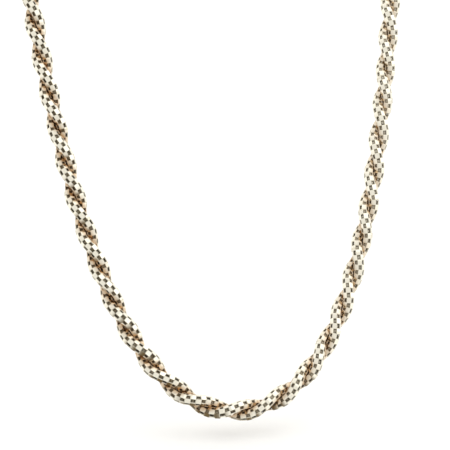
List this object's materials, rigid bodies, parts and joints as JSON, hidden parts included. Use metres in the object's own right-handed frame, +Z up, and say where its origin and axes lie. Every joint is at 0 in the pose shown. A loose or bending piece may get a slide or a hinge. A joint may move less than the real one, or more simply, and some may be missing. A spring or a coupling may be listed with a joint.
{
  "type": "twisted double box chain necklace",
  "caption": "Silver necklace of round double box chain strands twisted into a left-handed rope, in its worn form, with end cups and a ring clasp at the nape.",
  "frame": {"origin": "the nape: middle of the back of the loop, where it hangs on the back of the neck, inside the clasp's outline", "axes": "+Z up, -Y to the front where the loop hangs lowest, +X to the right of a viewer who faces the front"},
  "size_m": [0.1012, 0.1073, 0.1502],
  "materials": {
    "strand_silver": "polished sterling silver with light tarnish in the recesses",
    "cap_silver": "polished sterling silver",
    "clasp_silver": "polished sterling silver"
  },
  "bodies": {
    "root": {"strand_a": "strand_silver", "strand_b": "strand_silver", "end_cap_left": "cap_silver", "end_cap_right": "cap_silver", "clasp": "clasp_silver"}
  },
  "joints": []
}
